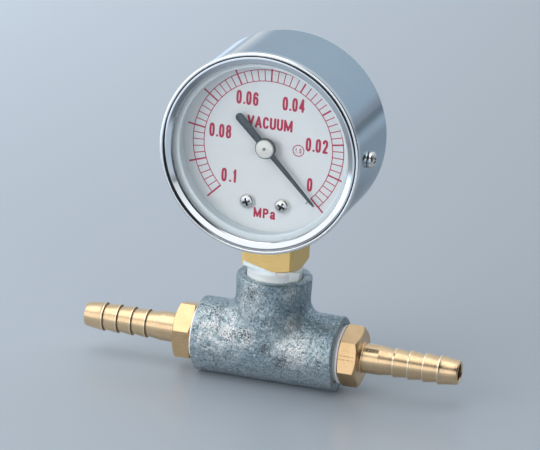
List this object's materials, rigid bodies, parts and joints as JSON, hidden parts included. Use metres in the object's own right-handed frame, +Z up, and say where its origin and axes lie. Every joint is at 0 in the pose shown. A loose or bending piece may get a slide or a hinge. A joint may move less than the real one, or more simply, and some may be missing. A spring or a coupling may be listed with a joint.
{
  "type": "in-line vacuum gauge",
  "caption": "Round dial vacuum gauge on a galvanised iron tee with a brass hose nipple in each end of the run, for watching suction in a hose line.",
  "frame": {"origin": "crossing of the tee's run axis and its branch axis, which is the middle of the flow bore", "axes": "+X along the run and the flow bore, towards the hose nipple on the right of the dial; the dial faces -Y; +Z up the branch towards the gauge"},
  "size_m": [0.123, 0.0365, 0.112],
  "materials": {
    "galvanised_iron": "hot-dip galvanised casting, mottled and pitted",
    "nipple_brass": "turned, satin",
    "stem_brass": "machined, satin",
    "ptfe_tape": "white sealing tape",
    "case_plating": "polished plated steel",
    "bezel_plating": "polished plated steel",
    "black_rubber": "matt",
    "window_glass": "clear flat glass",
    "grey_gasket": "matt grey",
    "spacer_metal": "satin grey",
    "zinc_steel": "zinc plated",
    "screw_plating": "polished",
    "dial_paint": "satin white",
    "bright_steel": "bright",
    "movement_brass": "stamped, satin",
    "tube_bronze": "drawn phosphor bronze",
    "spring_bronze": "rolled phosphor bronze",
    "pointer_black": "satin charcoal",
    "cap_nickel": "turned, bright"
  },
  "bodies": {
    "gauge_on_tee": {"tee_fitting": "galvanised_iron", "left_hose_nipple": "nipple_brass", "right_hose_nipple": "nipple_brass", "left_thread_tape": "ptfe_tape", "right_thread_tape": "ptfe_tape", "stem_thread_tape": "ptfe_tape", "stem_socket": "stem_brass", "case_shell": "case_plating", "case_socket_gasket": "black_rubber", "bezel_ring": "bezel_plating", "window_glass": "window_glass", "window_gasket": "grey_gasket", "window_spacer_ring": "spacer_metal", "dial_carrier_ring": "zinc_steel", "case_side_screws": "screw_plating", "dial_plate": "dial_paint", "dial_screws": "screw_plating", "dial_posts": "movement_brass", "zero_stop_pin": "bright_steel", "movement_back_plate": "movement_brass", "movement_front_plate": "movement_brass", "movement_pillars": "movement_brass", "pillar_screws": "bright_steel", "movement_screws": "bright_steel", "bourdon_tube": "tube_bronze", "hairspring": "spring_bronze", "hairspring_stud": "movement_brass"},
    "sector": {"sector_gear": "movement_brass", "sector_shaft": "bright_steel", "tail_pin": "bright_steel"},
    "pointer_arbor": {"pinion_shaft": "bright_steel", "hairspring_collet": "movement_brass", "pointer": "pointer_black", "pointer_cap": "cap_nickel"},
    "link": {"tip_link": "movement_brass"},
    "tip": {"tube_tip": "movement_brass"}
  },
  "joints": [
    {"name": "sector_swing", "type": "hinge", "parent": "gauge_on_tee", "child": "sector", "pos_m": [0.01041, -0.009, 0.05619], "axis": [0, 1, 0], "range_deg": [0, 33.75]},
    {"name": "pointer_spin", "type": "hinge", "parent": "gauge_on_tee", "child": "pointer_arbor", "pos_m": [0, -0.012, 0.0686], "axis": [0, -1, 0], "range_deg": [0, 270], "deforming": ["hairspring"]},
    {"name": "tip_swing", "type": "hinge", "parent": "gauge_on_tee", "child": "tip", "pos_m": [-0.00475, 0, 0.07437], "axis": [0, 1, 0], "range_deg": [0, 7.36], "deforming": ["bourdon_tube"]},
    {"name": "link_swing", "type": "hinge", "parent": "sector", "child": "link", "pos_m": [0.01634, -0.0082, 0.05525], "axis": [0, -1, 0], "range_deg": [0, 33.2]}
  ],
  "couplings": [
    {"joint": "pointer_spin", "follows": "sector_swing", "ratio": 8},
    {"joint": "tip_swing", "follows": "sector_swing", "ratio": 0.2177},
    {"joint": "link_swing", "follows": "sector_swing", "ratio": 0.9818}
  ]
}
